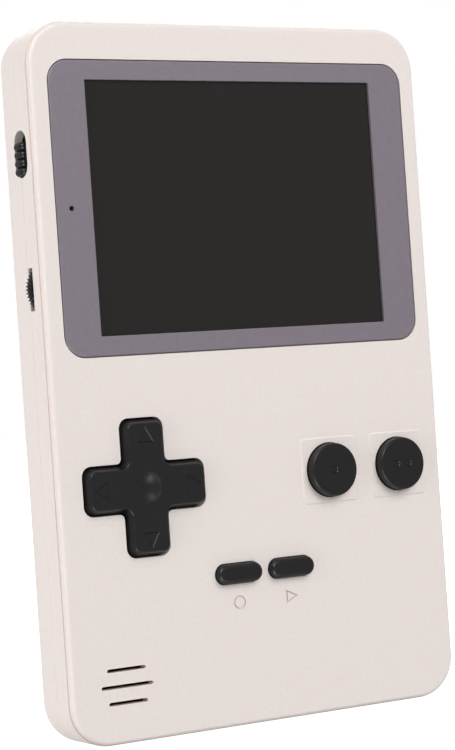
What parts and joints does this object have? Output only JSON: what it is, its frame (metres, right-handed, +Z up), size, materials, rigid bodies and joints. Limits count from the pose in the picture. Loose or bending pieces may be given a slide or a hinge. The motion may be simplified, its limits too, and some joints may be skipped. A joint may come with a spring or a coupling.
{
  "type": "handheld game console",
  "caption": "Rounded plastic handheld game console with a display, rocking cross pad, press buttons, side switch, volume wheel, speaker and a hinged battery door on the back.",
  "frame": {"origin": "on the flat bottom edge, under the middle of the body's width and thickness", "axes": "+Z up along the console's height, +X to the right as seen from the face, +Y from the face to the back"},
  "size_m": [0.0825, 0.016, 0.1266],
  "materials": {
    "shell_plastic": "fine matte",
    "bezel_plastic": "satin",
    "lens_acrylic": "gloss",
    "key_plastic": "fine matte",
    "black_rubber": "matte",
    "grey_rubber": "matte",
    "display_glass": "gloss",
    "white_plastic": "satin",
    "foam": "matte",
    "ribbon_film": "satin",
    "circuit_board": "satin",
    "contact_metal": "polished",
    "black_plastic": "matte",
    "part_metal": "satin",
    "screw_steel": "satin",
    "magnet_steel": "plated",
    "cone_paper": "matte",
    "lead_plastic": "satin",
    "lamp_lens": "gloss",
    "pack_case": "satin"
  },
  "bodies": {
    "console": {"front_shell": "shell_plastic", "rear_shell": "shell_plastic", "screen_bezel": "bezel_plastic", "screen_lens": "lens_acrylic", "lcd_gasket": "black_rubber", "speaker_gasket": "black_rubber", "pad_mat": "grey_rubber", "button_mat": "grey_rubber", "pill_mat": "grey_rubber", "lcd_glass": "display_glass", "lcd_backlight": "white_plastic", "ribbon_socket": "white_plastic", "lcd_foam": "foam", "lcd_ribbon": "ribbon_film", "main_board": "circuit_board", "contact_pads": "contact_metal", "pack_terminals": "contact_metal", "contact_leaves": "contact_metal", "chip_blob": "black_plastic", "resistors": "black_plastic", "regulator": "black_plastic", "contact_block": "black_plastic", "volume_body": "black_plastic", "crystal": "part_metal", "capacitors": "part_metal", "switch_body": "part_metal", "speaker_basket": "part_metal", "case_screws": "screw_steel", "board_screws": "screw_steel", "speaker_magnet": "magnet_steel", "speaker_cone": "cone_paper", "speaker_leads": "lead_plastic", "battery_leads": "lead_plastic", "status_lamp": "lamp_lens", "battery_pack": "pack_case"},
    "pad_ball": {"pad_ball": "white_plastic"},
    "cross_pad": {"cross_pad": "key_plastic"},
    "button_left": {"button_left": "key_plastic"},
    "button_right": {"button_right": "key_plastic"},
    "pill_left": {"pill_left": "key_plastic"},
    "pill_right": {"pill_right": "key_plastic"},
    "power_switch": {"power_switch": "key_plastic"},
    "volume_wheel": {"volume_wheel": "key_plastic"},
    "battery_door": {"battery_door": "shell_plastic"}
  },
  "joints": [
    {"name": "pad_rock_up_down", "type": "hinge", "parent": "console", "child": "pad_ball", "pos_m": [-0.0236, -0.00172, 0.0444], "axis": [1, 0, 0], "range_deg": [-3, 3], "stiffness_Nm_per_rad": 0.2, "deforming": ["pad_mat"]},
    {"name": "pad_rock_left_right", "type": "hinge", "parent": "pad_ball", "child": "cross_pad", "pos_m": [-0.0236, -0.00172, 0.0444], "axis": [0, 0, 1], "range_deg": [-3, 3], "stiffness_Nm_per_rad": 0.2, "deforming": ["pad_mat"]},
    {"name": "button_left_press", "type": "slide", "parent": "console", "child": "button_left", "axis": [0, 1, 0], "range_m": [0, 0.0009], "stiffness_N_per_m": 1200, "deforming": ["button_mat"]},
    {"name": "button_right_press", "type": "slide", "parent": "console", "child": "button_right", "axis": [0, 1, 0], "range_m": [0, 0.0009], "stiffness_N_per_m": 1200, "deforming": ["button_mat"]},
    {"name": "pill_left_press", "type": "slide", "parent": "console", "child": "pill_left", "axis": [0, 1, 0], "range_m": [0, 0.0008], "stiffness_N_per_m": 1200, "deforming": ["pill_mat"]},
    {"name": "pill_right_press", "type": "slide", "parent": "console", "child": "pill_right", "axis": [0, 1, 0], "range_m": [0, 0.0008], "stiffness_N_per_m": 1200, "deforming": ["pill_mat"]},
    {"name": "power_slide", "type": "slide", "parent": "console", "child": "power_switch", "axis": [0, 0, 1], "range_m": [0, 0.0018]},
    {"name": "volume_turn", "type": "hinge", "parent": "console", "child": "volume_wheel", "pos_m": [-0.03682, 0, 0.0802], "axis": [0, 1, 0], "range_deg": [-140, 140]},
    {"name": "door_hinge", "type": "hinge", "parent": "console", "child": "battery_door", "pos_m": [0, 0.0062, 0.0716], "axis": [-1, 0, 0], "range_deg": [0, 85]}
  ]
}
